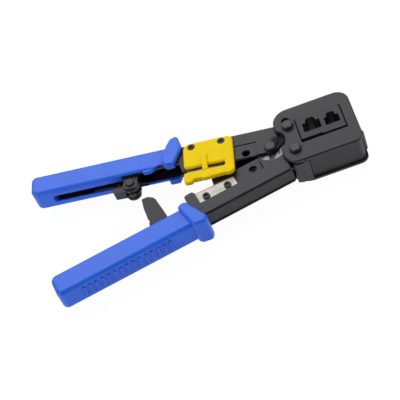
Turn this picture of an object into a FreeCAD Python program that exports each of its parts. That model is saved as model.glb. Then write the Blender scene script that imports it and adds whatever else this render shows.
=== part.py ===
"""Modular plug crimping tool: two pivoted arms drive a plunger under a die block.

Units are millimetres.  The origin is the centre of the 8-way plug pocket's mouth, in the front face
of the head.  +X runs along the head to its nose, +Y towards the upper handle and +Z out of the front
face, so the tool lies on its rear side.  Each arm is drawn in a frame of its own at the main pivot,
with x back along the handle towards the head and y towards the upper handle.
"""
import FreeCAD, Part
import math
import os
import Sketcher

doc = FreeCAD.newDocument("crimping_tool")

SIZES = {
    # head and its two plates
    "head_depth": 24.4,
    "arm_depth": 19.5,
    "plate_thickness": 2.4,
    "head_left": -24.2,
    "head_nose": 29.0,
    "head_top": 21.8,
    "head_bottom": -25.4,
    "upper_lobe_radius": 11.2,
    "lower_lobe_radius": 9.9,
    "rear_lobe_radius": 15.0,
    "nose_top_radius": 9.0,
    "nose_bottom_radius": 6.0,
    "notch_radius": 9.0,
    "edge_break": 0.7,
    "wall_inset": 1.5,
    "wall_thickness": 2.2,
    "crown_inner": 8.6,
    "crown_outer": 10.4,
    "crown_first_angle": 88,
    "crown_last_angle": 132,
    "nose_bar_thickness": 2.5,
    "nose_bar_start": -18.5,
    "nose_bar_width": 3.4,
    "post_radius": 11.0,
    "post_bead_radius": 2.2,
    "post_drop": 1.2,
    "post_first_angle": -118,
    "post_last_angle": -72,
    # pivots and pins
    "main_pivot_x": -30.5,
    "main_pivot_y": -4.0,
    "link_reach": 15.2,
    "link_rise": 10.5,
    "closing_angle": 9.5,
    "upper_angle": 9.5,
    "lower_angle": 11.0,
    "pin_radius": 2.8,
    "pin_head_radius": 3.7,
    "pin_head_height": 2.5,
    "pin_bevel": 0.6,
    "pin_tail": 1.2,
    "spacer_radius": 4.6,
    "clip_radius": 4.4,
    "clip_thickness": 0.8,
    "running_gap": 0.05,
    "open_pivot_gap": 0.22,
    "slot_gap": 0.3,
    "head_clip_turn": 210,
    "plunger_clip_turn": 150,
    "arm_clip_turn": 30,
    # die block and plug pockets
    "die_left": -9.2,
    "die_width": 30.3,
    "die_top": 9.9,
    "die_bottom": -8.7,
    "die_step": 0.9,
    "die_step_inset": 3.8,
    "die_depth": 22.9,
    "window_gap": 0.8,
    "window_bottom": -11.4,
    "latch_round": 2.4,
    "wide_pocket_width": 11.9,
    "wide_pocket_height": 7.7,
    "wide_latch_width": 6.6,
    "wide_latch_top": 7.4,
    "narrow_pocket_x": 13.8,
    "narrow_pocket_y": -0.8,
    "narrow_pocket_width": 9.9,
    "narrow_pocket_height": 6.6,
    "narrow_latch_width": 6.0,
    "narrow_latch_top": 6.2,
    "punch_slot_start": 2.0,
    "punch_slot_overrun": 3.0,
    # plunger, punches and trimming blade
    "beam_top": -14.7,
    "beam_height": 5.3,
    "beam_inset": 1.3,
    "beam_setback": 1.4,
    "neck_fork": 3.0,
    "neck_lap": 0.5,
    "neck_width": 2.7,
    "lug_radius": 5.3,
    "punch_thickness": 4.4,
    "jacket_punch_thickness": 2.0,
    "punch_pitch": 1.02,
    "punch_tooth": 0.5,
    "punch_setback": 1.6,
    "punch_tooth_length": 2.6,
    "punch_entry": 2.6,
    "jacket_punch_entry": 2.2,
    "punch_depth": 18.6,
    "jacket_punch_depth": 6.5,
    "jacket_punch_width": 5.4,
    "trim_blade_thickness": 1.0,
    "trim_blade_inset": 0.6,
    "trim_blade_rise": 10.0,
    "trim_screw_spacing": 16.0,
    "trim_screw_length": 4.5,
    # arms
    "arm_gap": 0.2,
    "cheek_thickness": 2.0,
    "layer_gap": 0.1,
    "web_thickness": 2.0,
    "upper_outer": 17.2,
    "upper_inner": -3.4,
    "upper_waist": 4.0,
    "lower_outer": 24.6,
    "rim_overhang": 0.7,
    "rim_end": 66.0,
    "lower_arm_tip": -4.4,
    "lower_inner": 1.2,
    "lower_waist": 13.5,
    "arm_length": 152.0,
    "arm_shoulder": 61.0,
    "tongue_radius": 5.6,
    "tongue_thickness": 1.2,
    "lap_cutout_radius": 10.5,
    "foot_radius": 6.8,
    "washer_radius": 9.4,
    "washer_thickness": 1.1,
    "lower_lap_margin": 0.8,
    "upper_lap_margin": -1.2,
    "set_screw_recess": 1.6,
    "set_screw_reach": 1.0,
    "pad_depth": 0.5,
    # cutter on the lower arm
    "blade_start": 31.0,
    "blade_length": 27.6,
    "blade_heel": 13.7,
    "blade_thickness": 1.0,
    "blade_screw_near": 6.1,
    "blade_screw_far": 5.8,
    "blade_screw_depth": 10.4,
    "blade_edge_near": 5.2,
    "blade_edge_far": 3.4,
    "cap_screw_radius": 2.5,
    "cap_screw_height": 1.0,
    "small_screw_radius": 1.5,
    # guard on the upper arm
    "guard_start": 24.8,
    "guard_end": 59.1,
    "guard_strip": 6.3,
    "guard_thickness": 2.35,
    "rail_near": 8.6,
    "rail_far": 17.1,
    "rib_rise": 0.6,
    "bridge_centre": 44.6,
    "bridge_width": 3.4,
    "guard_round": 1.2,
    "rail_round": 0.8,
    "anvil_reach": 2.0,
    "anvil_thickness": 1.2,
    "anvil_proud": 1.2,
    "anvil_inset": 0.5,
    "anvil_length": 26.1,
    # grips
    "grip_front_face": -1.0,
    "grip_length": 168.0,
    "grip_start": 64.0,
    "grip_overlap": 3.0,
    "upper_grip_inner": 2.6,
    "upper_grip_outer": 19.0,
    "lower_grip_inner": 11.2,
    "lower_grip_outer": 28.4,
    "grip_round": 2.6,
    "flange_proud": 2.2,
    "upper_flange_round": 1.3,
    "lower_flange_round": 1.9,
    "fit_gap": 0.2,
    "rib_count": 15,
    "rib_pitch": 4.48,
    "rib_start": 88.0,
    "rib_width": 2.2,
    "rib_height": 0.55,
    "rib_margin": 4.0,
    "swell_drop": 0.8,
    "swell_depth": 2.4,
    "passage_inset": 4.5,
    "bracket_inset": 2.4,
    "grip_slot_margin": 14.0,
    "grip_slot_half": 3.1,
    # strike plate and lock catch
    "strike_thickness": 2.5,
    "catch_pivot_s": 98.0,
    "catch_pivot_n": -2.3,
    "catch_radius": 5.9,
    "catch_hub_radius": 3.4,
    "catch_disc_thickness": 2.0,
    "bracket_thickness": 1.5,
    "rivet_radius": 1.6,
    "rivet_head_height": 1.4,
    "bracket_gap_half": 2.0,
    "catch_spring_radius": 1.05,
    "catch_spring_wire": 0.28,
    "catch_spring_length": 15.0,
}


def fill_sheet():
    """Write every driving dimension into a spreadsheet cell with its name as alias."""
    table = doc.addObject("Spreadsheet::Sheet", "Sizes")
    for row, (alias, value) in enumerate(SIZES.items(), start=1):
        table.set("A%d" % row, alias)
        table.set("B%d" % row, str(value))
        table.setAlias("B%d" % row, alias)
    doc.recompute()
    return table


sheet = fill_sheet()


def size(name):
    return float(sheet.get(name))


# ---------------------------------------------------------------- derived levels, as sheet expressions

def bound(text):
    """Turn words of the sheet in an expression into references to its cells."""
    for alias in sorted(SIZES, key=len, reverse=True):
        text = text.replace("{%s}" % alias, "Sizes." + alias)
    return text


def level(text):
    """Value of an expression over the sheet, for geometry that python works out."""
    for alias in SIZES:
        text = text.replace("{%s}" % alias, "(%r)" % size(alias))
    return float(FreeCAD.Units.Quantity(text).Value)


# Depth levels, counted down from the front face (z = 0); rear levels mirror them.
UPPER_TOP = "-({plate_thickness} + {arm_gap})"
UPPER_LOW = UPPER_TOP + " - {cheek_thickness}"
LOWER_TOP = UPPER_LOW + " - {layer_gap}"
LOWER_LOW = LOWER_TOP + " - {cheek_thickness}"


def mirrored(text):
    """Level on the rear side of the arms that matches a front level."""
    return "-{arm_depth} - (" + text + ")"


def span(low, high):
    return "(" + high + ") - (" + low + ")"


# ---------------------------------------------------------------- sketch, pad and pocket helpers

def corner_arc(before, corner, after, radius):
    """Start, middle and end of the arc that rounds one corner of an outline."""
    into = (before - corner).normalize()
    out = (after - corner).normalize()
    half = into.getAngle(out) / 2
    reach = radius / math.tan(half)
    start = corner + into * reach
    end = corner + out * reach
    middle_line = (into + out).normalize()
    centre = corner + middle_line * (radius / math.sin(half))
    middle = centre - middle_line * radius
    return start, middle, end


def draw_outline(sketch, corners):
    """Closed outline of lines through (x, y) corners, each rounded if it has a third value."""
    points = [FreeCAD.Vector(c[0], c[1], 0) for c in corners]
    radii = [c[2] if len(c) > 2 else 0 for c in corners]
    count = len(points)
    entries = []
    exits = []
    arcs = []
    for i in range(count):
        if radii[i]:
            start, middle, end = corner_arc(points[i - 1], points[i], points[(i + 1) % count], radii[i])
            arcs.append(Part.Arc(start, middle, end))
        else:
            start = end = points[i]
            arcs.append(None)
        entries.append(start)
        exits.append(end)
    for i in range(count):
        following = (i + 1) % count
        if arcs[i]:
            add_fixed(sketch, arcs[i])
        if (entries[following] - exits[i]).Length > 1e-6:
            add_fixed(sketch, Part.LineSegment(exits[i], entries[following]))


def add_fixed(sketch, curve):
    index = sketch.addGeometry(curve, False)
    sketch.addConstraint(Sketcher.Constraint("Block", index))


def draw_circle(sketch, x, y, radius):
    """Circle whose radius is bound to a sheet expression."""
    circle = Part.Circle(FreeCAD.Vector(x, y, 0), FreeCAD.Vector(0, 0, 1), level(radius))
    index = sketch.addGeometry(circle, False)
    sketch.addConstraint(Sketcher.Constraint("DistanceX", index, 3, x))
    sketch.addConstraint(Sketcher.Constraint("DistanceY", index, 3, y))
    number = sketch.addConstraint(Sketcher.Constraint("Radius", index, level(radius)))
    sketch.setExpression("Constraints[%d]" % number, bound(radius))


def origin_plane(body, role):
    return [feature for feature in body.Origin.OriginFeatures if feature.Role == role][0]


def new_sketch(body, name, shapes, at, role="XY_Plane"):
    """Sketch on an origin plane, moved along its normal to the level of an expression."""
    sketch = body.newObject("Sketcher::SketchObject", name)
    sketch.AttachmentSupport = [(origin_plane(body, role), "")]
    sketch.MapMode = "FlatFace"
    sketch.setExpression("AttachmentOffset.Base.z", bound(at))
    for shape in shapes:
        if shape[0] == "circle":
            draw_circle(sketch, shape[1], shape[2], shape[3])
        elif shape[0] == "arcs":
            for curve in shape[1]:
                add_fixed(sketch, curve)
        else:
            draw_outline(sketch, shape)
    return sketch


def pad(body, name, shapes, low, high, role="XY_Plane"):
    """Pad the shapes from one level to another."""
    sketch = new_sketch(body, name + "_sketch", shapes, low, role)
    feature = body.newObject("PartDesign::Pad", name)
    feature.Profile = sketch
    feature.setExpression("Length", bound(span(low, high)))
    doc.recompute()
    return feature


def pocket(body, name, shapes, low, high, role="XY_Plane"):
    """Cut the shapes out of the body from one level to another, and check that they cut."""
    before = body.Shape.Volume
    sketch = new_sketch(body, name + "_sketch", shapes, low, role)
    feature = body.newObject("PartDesign::Pocket", name)
    feature.Profile = sketch
    feature.Reversed = True
    feature.setExpression("Length", bound(span(low, high)))
    doc.recompute()
    if body.Shape.Volume > before - 1e-4:
        raise ValueError(name + " cuts nothing")
    return feature


def edges_where(shape, test):
    """Names of the edges whose every sample point passes the test."""
    names = []
    for number, edge in enumerate(shape.Edges, start=1):
        points = edge.discretize(5)
        if all(test(p) for p in points):
            names.append("Edge%d" % number)
    return names


def dress(body, kind, name, length, test):
    """Fillet or chamfer the edges of the body's last feature that pass the test."""
    base = body.Tip
    feature = body.newObject("PartDesign::" + kind, name)
    feature.Base = (base, edges_where(base.Shape, test))
    feature.setExpression("Radius" if kind == "Fillet" else "Size", bound(length))
    doc.recompute()
    return feature


def at_level(*texts):
    """Test for edges that lie flat at one of the given levels."""
    heights = [level(text) for text in texts]
    return lambda p: any(abs(p.z - height) < 1e-4 for height in heights)


def new_body(label):
    body = doc.addObject("PartDesign::Body", label)
    body.Label = label
    return body


# ---------------------------------------------------------------- frames of the two arms

MAIN = FreeCAD.Vector(size("main_pivot_x"), size("main_pivot_y"), 0)
REACH = size("link_reach")
RISE = size("link_rise")
PLUNGER_PIN = MAIN + FreeCAD.Vector(REACH, RISE, 0)
HEAD_PIN = MAIN + FreeCAD.Vector(REACH, -RISE, 0)
LINK_ANGLE = math.atan2(RISE, REACH)
CLOSED = LINK_ANGLE + math.radians(size("closing_angle"))
LINK = math.hypot(REACH, RISE)
MAIN_CLOSED = HEAD_PIN + FreeCAD.Vector(-LINK * math.cos(CLOSED), LINK * math.sin(CLOSED), 0)
STROKE = 2 * (MAIN_CLOSED.y - MAIN.y)


def in_arm(point, angle):
    """Coordinates of a head-frame point in the frame of an arm turned by an angle in degrees."""
    turned = FreeCAD.Rotation(FreeCAD.Vector(0, 0, 1), -angle)
    return turned.multVec(point - MAIN)


PIN_IN_UPPER = in_arm(PLUNGER_PIN, -size("upper_angle"))
PIN_IN_LOWER = in_arm(HEAD_PIN, size("lower_angle"))


def place_on_upper(item):
    place_on_arm(item, "-Sizes.upper_angle")


def place_on_lower(item):
    place_on_arm(item, "Sizes.lower_angle")


def place_on_arm(item, angle):
    """Put a piece drawn in an arm's frame into the tool's frame."""
    item.Placement = FreeCAD.Placement(MAIN, FreeCAD.Rotation(FreeCAD.Vector(0, 0, 1), 1))
    item.setExpression("Placement.Base.x", "Sizes.main_pivot_x")
    item.setExpression("Placement.Base.y", "Sizes.main_pivot_y")
    item.setExpression("Placement.Rotation.Angle", angle)


def upper(s, n, *radius):
    """Corner given along the upper handle (s) and out from the main pivot (n)."""
    return (-s, n) + radius


def lower(s, n, *radius):
    """Corner given along the lower handle (s) and out from the main pivot (n)."""
    return (-s, -n) + radius


# ---------------------------------------------------------------- primitive solids for small parts

def cylinder(name, radius, low, high, x=0.0, y=0.0):
    """Upright cylinder between two levels, its radius and levels bound to the sheet."""
    item = doc.addObject("Part::Cylinder", name)
    item.setExpression("Radius", bound(radius))
    item.setExpression("Height", bound(span(low, high)))
    item.Placement.Base = FreeCAD.Vector(x, y, level(low))
    item.setExpression("Placement.Base.z", bound(low))
    return item


def joined(name, items):
    item = doc.addObject("Part::MultiFuse", name)
    item.Shapes = items
    return item


def cut(name, base, tool):
    item = doc.addObject("Part::Cut", name)
    item.Base = base
    item.Tool = tool
    return item


def group(label, items):
    """Several separate solids of one kind in one sub-part."""
    item = doc.addObject("Part::Compound", label)
    item.Links = items
    item.Label = label
    return item


def labelled(item, label):
    item.Label = label
    return item


def hexagon_socket(name, across, low, high, x, y):
    """Six-sided prism that cuts the driving socket of a screw."""
    item = doc.addObject("Part::Prism", name)
    item.Polygon = 6
    item.Circumradius = across / math.sqrt(3)
    item.setExpression("Height", bound(span(low, high)))
    item.Placement.Base = FreeCAD.Vector(x, y, level(low))
    item.setExpression("Placement.Base.z", bound(low))
    return item


# ---------------------------------------------------------------- levels used by several pieces

FRONT = "0"
BACK = "-{head_depth}"
PLATE_LOW = "-{plate_thickness}"
REAR_PLATE_TOP = BACK + " + {plate_thickness}"
RIM_TOP = UPPER_TOP + " - {layer_gap}"
BLADE_TOP = LOWER_TOP + " + {blade_thickness}"
SCREW_TOP = BLADE_TOP + " + {cap_screw_height}"
RAIL_LOW = SCREW_TOP + " + {arm_gap}"
GUARD_TOP = UPPER_TOP + " + {guard_thickness}"
GUARD_SEAT = GUARD_TOP + " - {cap_screw_height} * 1.2"
GRIP_TOP = "{grip_front_face}"
GRIP_BACK = mirrored(GRIP_TOP)
FLANGE_TOP = "{grip_front_face} + {flange_proud}"
FLANGE_BACK = mirrored(FLANGE_TOP)
MIDDLE = "-{arm_depth} / 2"


# ---------------------------------------------------------------- head

def head_outline(lower_radius):
    left, right = size("head_left"), size("head_nose")
    top, bottom = size("head_top"), size("head_bottom")
    return [
        (left, top, size("upper_lobe_radius")),
        (right, top, size("nose_top_radius")),
        (right, bottom, size("nose_bottom_radius")),
        (left, bottom, lower_radius),
    ]


def rectangle(left, bottom, right, top, radius=0):
    return [(left, bottom, radius), (right, bottom, radius), (right, top, radius), (left, top, radius)]


def window(bottom):
    gap = size("window_gap")
    left = size("die_left") - gap
    right = size("die_left") + size("die_width") + gap
    return rectangle(left, bottom, right, size("die_top"))


def pin_track():
    """Slot that lets the plunger pin rise by its stroke, with clearance all round."""
    half = size("pin_radius") + size("slot_gap")
    x, y = PLUNGER_PIN.x, PLUNGER_PIN.y
    corners = rectangle(x - half, y - half, x + half, y + STROKE + half, half * 0.999)
    return corners


def sector(centre, inner, outer, first, last):
    """Closed ring sector about a centre between two angles in degrees."""
    def on(radius, angle):
        turn = math.radians(angle)
        return centre + FreeCAD.Vector(math.cos(turn), math.sin(turn), 0) * radius

    middle = (first + last) / 2
    return ("arcs", [
        Part.Arc(on(outer, first), on(outer, middle), on(outer, last)),
        Part.LineSegment(on(outer, last), on(inner, last)),
        Part.Arc(on(inner, last), on(inner, middle), on(inner, first)),
        Part.LineSegment(on(inner, first), on(outer, first)),
    ])


def make_head_plate(label, low, high, face, window_bottom, lower_radius):
    """Side plate with its window, the notch round the main pivot, pin hole and pin slot."""
    body = new_body(label)
    pad(body, label + "_blank", [head_outline(lower_radius)], low, high)
    pocket(body, label + "_notch", [("circle", MAIN_CLOSED.x, MAIN_CLOSED.y, "{notch_radius}")], low, high)
    dress(body, "Chamfer", label + "_edges", "{edge_break}", at_level(face))
    pocket(body, label + "_window", [window(window_bottom)], low, high)
    pocket(body, label + "_track", [pin_track()], low, high)
    hole = ("circle", HEAD_PIN.x, HEAD_PIN.y, "{pin_radius} + {running_gap}")
    pocket(body, label + "_pin_hole", [hole], low, high)
    return body


def make_head_plates():
    front = make_head_plate("head_front_plate", PLATE_LOW, FRONT, FRONT, size("window_bottom"),
                            size("lower_lobe_radius"))
    beam_low = size("beam_top") - size("beam_height")
    rear = make_head_plate("head_rear_plate", BACK, REAR_PLATE_TOP, BACK, beam_low - size("slot_gap"),
                           size("rear_lobe_radius"))
    for number, (x, y) in enumerate(HEAD_SCREWS):
        hole = ("circle", x, y, "{small_screw_radius}")
        sink = ("circle", x, y, "{cap_screw_radius} + {fit_gap}")
        pocket(rear, "head_rear_plate_hole_%d" % number, [hole], BACK, REAR_PLATE_TOP)
        pocket(rear, "head_rear_plate_sink_%d" % number, [sink], BACK, BACK + " + {cap_screw_height}")
    return [front, rear]


HEAD_SCREWS = [(-3.6, 15.2), (15.4, 15.2)]


def make_side_wall():
    """Strap bent round the lower side, the nose and the top, between the two plates."""
    inset = size("wall_inset")
    thick = size("wall_thickness")
    bottom = size("head_bottom") + inset
    right = size("head_nose") - inset
    top = size("head_top") - inset
    start = POST_BEAD.x
    end = CROWN.x
    lower_radius = size("nose_bottom_radius") - inset
    upper_radius = size("nose_top_radius") - inset
    corners = [
        (start, bottom),
        (right, bottom, lower_radius),
        (right, top, upper_radius),
        (end, top),
        (end, top - thick),
        (right - thick, top - thick, upper_radius - thick),
        (right - thick, bottom + thick, lower_radius - thick),
        (start, bottom + thick),
    ]
    body = new_body("head_side_wall")
    pad(body, "side_wall_strap", [corners], REAR_PLATE_TOP, PLATE_LOW)
    crown = sector(CROWN, size("crown_inner"), size("crown_outer"), size("crown_first_angle"),
                   size("crown_last_angle"))
    pad(body, "side_wall_crown", [crown], REAR_PLATE_TOP, PLATE_LOW)
    bead = ("circle", POST_BEAD.x, POST_BEAD.y, "{post_bead_radius}")
    pocket(body, "side_wall_bead_seat", [bead], REAR_PLATE_TOP, PLATE_LOW)
    return body


POST_BEAD = FreeCAD.Vector(HEAD_PIN.x + 3.7, HEAD_PIN.y - 9.1, 0)
CROWN = FreeCAD.Vector(size("head_left"), size("head_top"), 0)
CROWN += FreeCAD.Vector(1, -1, 0) * size("upper_lobe_radius")


def make_nose_bar():
    """Upright bar on the outside of the nose wall, near its lower corner."""
    body = new_body("head_nose_bar")
    right = size("head_nose") - size("wall_inset")
    edge = right + size("nose_bar_thickness")
    start = size("nose_bar_start")
    outline = rectangle(right, start, edge, start + size("nose_bar_width"))
    pad(body, "nose_bar_blank", [outline], REAR_PLATE_TOP + " + {plate_thickness} * 0.8",
        PLATE_LOW + " - {edge_break} * 2")
    dress(body, "Chamfer", "nose_bar_edges", "{edge_break}", lambda p: abs(p.x - edge) < 1e-4)
    return body


def make_backing_block():
    """Block that takes the crimping thrust above the dies, tapped for the head screws."""
    left = size("die_left")
    right = left + size("die_width")
    body = new_body("die_backing_block")
    top = size("head_top") - size("wall_inset") - size("wall_thickness")
    outline = rectangle(left, size("die_top"), right, top)
    pad(body, "backing_blank", [outline], REAR_PLATE_TOP, PLATE_LOW)
    holes = [("circle", x, y, "{small_screw_radius}") for x, y in HEAD_SCREWS]
    pocket(body, "backing_threads", holes, REAR_PLATE_TOP, MIDDLE)
    return body


def make_head_screws():
    """Socket screws that hold the rear plate to the backing block."""
    screws = []
    for number, (x, y) in enumerate(HEAD_SCREWS):
        name = "head_screw_%d" % number
        shank = cylinder(name + "_shank", "{small_screw_radius}", BACK, MIDDLE, x, y)
        head = cylinder(name + "_head", "{cap_screw_radius}", BACK, BACK + " + {cap_screw_height}", x, y)
        socket = hexagon_socket(name + "_socket", size("small_screw_radius") * 1.5, BACK,
                                BACK + " + {cap_screw_height} * 0.7", x, y)
        screws.append(cut(name, joined(name + "_whole", [shank, head]), socket))
    return group("head_screws", screws)


def make_corner_post():
    """Rounded post that closes the head's corner round the lower arm's foot, with a bead up its side."""
    body = new_body("head_corner_post")
    inner = size("foot_radius") + size("slot_gap")
    ring = sector(HEAD_PIN, inner, size("post_radius"), size("post_first_angle"), size("post_last_angle"))
    pad(body, "post_column", [ring], REAR_PLATE_TOP, PLATE_LOW + " - {post_drop}")
    bead = ("circle", POST_BEAD.x, POST_BEAD.y, "{post_bead_radius}")
    pad(body, "post_bead", [bead], REAR_PLATE_TOP, PLATE_LOW)
    return body


def latch_slot(x, low, top, width):
    """Slot for a plug's latch, with its outer corners rounded."""
    half = width / 2
    turn = size("latch_round")
    return [(x - half, low, 0), (x + half, low, 0), (x + half, top, turn), (x - half, top, turn)]


def make_die_block():
    """Block with the two plug pockets, each with a slot for the latch and slots for the punches."""
    left, right = size("die_left"), size("die_left") + size("die_width")
    top, bottom = size("die_top"), size("die_bottom")
    step_x = size("narrow_pocket_x") - size("narrow_pocket_width") / 2 - size("die_step_inset")
    outline = [
        (left, bottom),
        (step_x, bottom),
        (step_x, bottom - size("die_step")),
        (right, bottom - size("die_step")),
        (right, top),
        (left, top),
    ]
    body = new_body("die_block")
    pad(body, "die_blank", [outline], "-{die_depth}", FRONT)
    wide = rectangle(-size("wide_pocket_width") / 2, -size("wide_pocket_height") / 2,
                     size("wide_pocket_width") / 2, size("wide_pocket_height") / 2)
    wide_latch = latch_slot(0, 0, size("wide_latch_top"), size("wide_latch_width"))
    x, y = size("narrow_pocket_x"), size("narrow_pocket_y")
    half_width, half_height = size("narrow_pocket_width") / 2, size("narrow_pocket_height") / 2
    narrow = rectangle(x - half_width, y - half_height, x + half_width, y + half_height)
    narrow_latch = latch_slot(x, y, size("narrow_latch_top"), size("narrow_latch_width"))
    for name, shape in (("wide_pocket", wide), ("wide_latch_slot", wide_latch),
                        ("narrow_pocket", narrow), ("narrow_latch_slot", narrow_latch)):
        pocket(body, name, [shape], "-{die_depth}", FRONT)
    gap = size("slot_gap")
    for centre, count in ((0, 8), (x, 6)):
        half = count * size("punch_pitch") / 2 + gap
        deep = size("punch_depth")
        thick = size("punch_thickness") / 2 + gap
        slot = rectangle(centre - half, -deep - thick, centre + half, -deep + thick)
        pocket(body, "contact_slot_%d" % count, [slot], "{punch_slot_start}",
               "-{die_bottom} + {punch_slot_overrun}", "XZ_Plane")
        half = size("jacket_punch_width") / 2 + gap
        deep = size("jacket_punch_depth")
        thick = size("jacket_punch_thickness") / 2 + gap
        slot = rectangle(centre - half, -deep - thick, centre + half, -deep + thick)
        pocket(body, "jacket_slot_%d" % count, [slot], "{punch_slot_start}",
               "-{die_bottom} + {punch_slot_overrun}", "XZ_Plane")
    return body


# ---------------------------------------------------------------- pins and clips

def make_pin(label, x, y, head_level, clip_level, tail_level):
    """Turned pin with a chamfered head and a groove for its clip near the tail."""
    shaft = size("pin_radius")
    head = size("pin_head_radius")
    bevel = size("pin_bevel")
    tail_bevel = bevel / 2
    head_top = level(head_level) + size("pin_head_height")
    neck = shaft * 0.8
    clip_top = level(clip_level) + size("clip_thickness")
    tail = level(tail_level)
    corners = [
        (0, head_top),
        (head - bevel, head_top),
        (head, head_top - bevel),
        (head, level(head_level)),
        (shaft, level(head_level)),
        (shaft, clip_top),
        (neck, clip_top),
        (neck, level(clip_level)),
        (shaft, level(clip_level)),
        (shaft, tail + tail_bevel),
        (shaft - tail_bevel, tail),
        (0, tail),
    ]
    body = new_body(label)
    sketch = new_sketch(body, label + "_profile", [corners], "0", "XZ_Plane")
    turned = body.newObject("PartDesign::Revolution", label + "_turned")
    turned.Profile = sketch
    turned.ReferenceAxis = (sketch, ["V_Axis"])
    turned.Angle = 360
    body.Placement.Base = FreeCAD.Vector(x, y, 0)
    doc.recompute()
    return body


def make_clip(label, x, y, clip_level, opening):
    """Flat open ring snapped into the pin's groove; opening is the direction of its gap."""
    top = clip_level + " + {clip_thickness}"
    ring = cylinder(label + "_ring", "{clip_radius}", clip_level, top, x, y)
    bore = cylinder(label + "_bore", "{pin_radius} * 0.8", clip_level, top, x, y)
    mouth = doc.addObject("Part::Box", label + "_mouth")
    mouth.setExpression("Length", bound("{clip_radius} + 1"))
    mouth.setExpression("Width", bound("{pin_radius} * 1.3"))
    mouth.setExpression("Height", bound("{clip_thickness}"))
    turn = FreeCAD.Rotation(FreeCAD.Vector(0, 0, 1), opening)
    offset = turn.multVec(FreeCAD.Vector(0, -size("pin_radius") * 0.65, 0))
    mouth.Placement = FreeCAD.Placement(FreeCAD.Vector(x, y, level(clip_level)) + offset, turn)
    item = cut(label, ring, joined(label + "_gap", [bore, mouth]))
    return labelled(item, label)


HEAD_CLIP = BACK + " - {running_gap} - {clip_thickness}"
HEAD_TAIL = HEAD_CLIP + " - {pin_tail} + {clip_thickness}"
ARM_CLIP = mirrored(UPPER_TOP) + " - {layer_gap} - {clip_thickness}"
ARM_TAIL = ARM_CLIP + " - {pin_tail} + {clip_thickness}"


def make_head_pins():
    """Pins through the head: the lower arm's pivot and the plunger's drive pin."""
    pivot = make_pin("head_pivot_pin", HEAD_PIN.x, HEAD_PIN.y, FRONT, HEAD_CLIP, HEAD_TAIL)
    pivot_clip = make_clip("head_pivot_clip", HEAD_PIN.x, HEAD_PIN.y, HEAD_CLIP,
                           size("head_clip_turn"))
    drive = make_pin("plunger_pin", PLUNGER_PIN.x, PLUNGER_PIN.y, "{running_gap}", HEAD_CLIP, HEAD_TAIL)
    drive_clip = make_clip("plunger_pin_clip", PLUNGER_PIN.x, PLUNGER_PIN.y, HEAD_CLIP,
                           size("plunger_clip_turn"))
    return [pivot, pivot_clip, drive, drive_clip]


def make_spacers():
    """Sleeves that hold the arms' rear cheeks off the rear plate, on the two head pins."""
    sleeves = []
    low = REAR_PLATE_TOP + " + {layer_gap}"
    high = mirrored(UPPER_TOP) + " - {layer_gap}"
    for label, pin in (("head_pivot_spacer", HEAD_PIN), ("plunger_pin_spacer", PLUNGER_PIN)):
        tube = cylinder(label + "_tube", "{spacer_radius}", low, high, pin.x, pin.y)
        bore = cylinder(label + "_bore", "{pin_radius} + {running_gap}", low, high, pin.x, pin.y)
        sleeves.append(labelled(cut(label, tube, bore), label))
    return sleeves


def make_main_pivot():
    """Pin that joins the arms, its clip and the two thrust washers between the cheeks."""
    pin = make_pin("main_pivot_pin", MAIN.x, MAIN.y, UPPER_TOP + " + {running_gap}", ARM_CLIP, ARM_TAIL)
    clip = make_clip("main_pivot_clip", MAIN.x, MAIN.y, ARM_CLIP, size("arm_clip_turn"))
    rings = []
    top = LOWER_TOP + " + {running_gap}"
    front = (top + " - {washer_thickness}", top)
    rear = (mirrored(front[1]), mirrored(front[0]))
    for name, (low, high) in (("front", front), ("rear", rear)):
        disc = cylinder("washer_disc_" + name, "{washer_radius}", low, high, MAIN.x, MAIN.y)
        bore = cylinder("washer_bore_" + name, "{pin_radius} + {running_gap}", low, high, MAIN.x, MAIN.y)
        rings.append(cut("washer_" + name, disc, bore))
    return [pin, clip, group("main_pivot_washers", rings)]


# ---------------------------------------------------------------- plunger and its tools

BEAM_BACK = BACK + " + {beam_setback}"


def make_plunger():
    """Slider: a lug on the drive pin, a thin neck and the beam that carries the punches."""
    body = new_body("crimp_plunger")
    x, y = PLUNGER_PIN.x, PLUNGER_PIN.y
    top, height = size("beam_top"), size("beam_height")
    beam_left = size("die_left") + size("beam_inset")
    beam_right = size("die_left") + size("die_width")
    neck_right = size("die_left") - size("slot_gap")
    neck_left = neck_right - size("neck_width")
    pad(body, "plunger_beam", [rectangle(beam_left, top - height, beam_right, top)],
        BEAM_BACK, PLATE_LOW + " - {slot_gap}")
    neck = [
        (neck_left, y),
        (neck_left, top - size("neck_fork"), 1.5),
        (beam_left + size("neck_lap"), top - size("neck_fork")),
        (beam_left + size("neck_lap"), top),
        (neck_right, top),
        (neck_right, y),
    ]
    pad(body, "plunger_neck", [neck], mirrored(LOWER_LOW) + " + {arm_gap}", LOWER_LOW + " - {arm_gap}")
    pad(body, "plunger_lug", [("circle", x, y, "{lug_radius}")], mirrored(LOWER_TOP), LOWER_TOP)
    pocket(body, "plunger_bore", [("circle", x, y, "{pin_radius} + {open_pivot_gap}")],
           mirrored(LOWER_TOP), LOWER_TOP)
    dress(body, "Chamfer", "plunger_edges", "{edge_break}",
          lambda p: abs(p.z - level(PLATE_LOW + " - {slot_gap}")) < 1e-4)
    holes = [("circle", hole_x, hole_y, "{small_screw_radius}") for hole_x, hole_y in trim_screw_places()]
    pocket(body, "plunger_screw_holes", holes, BEAM_BACK,
           BEAM_BACK + " + {trim_screw_length} + {slot_gap}")
    return body


def trim_screw_places():
    x = size("die_left") + size("die_width") / 2
    y = size("beam_top") - size("beam_height") / 2
    half = size("trim_screw_spacing") / 2
    return [(x - half, y), (x + half, y)]


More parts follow.
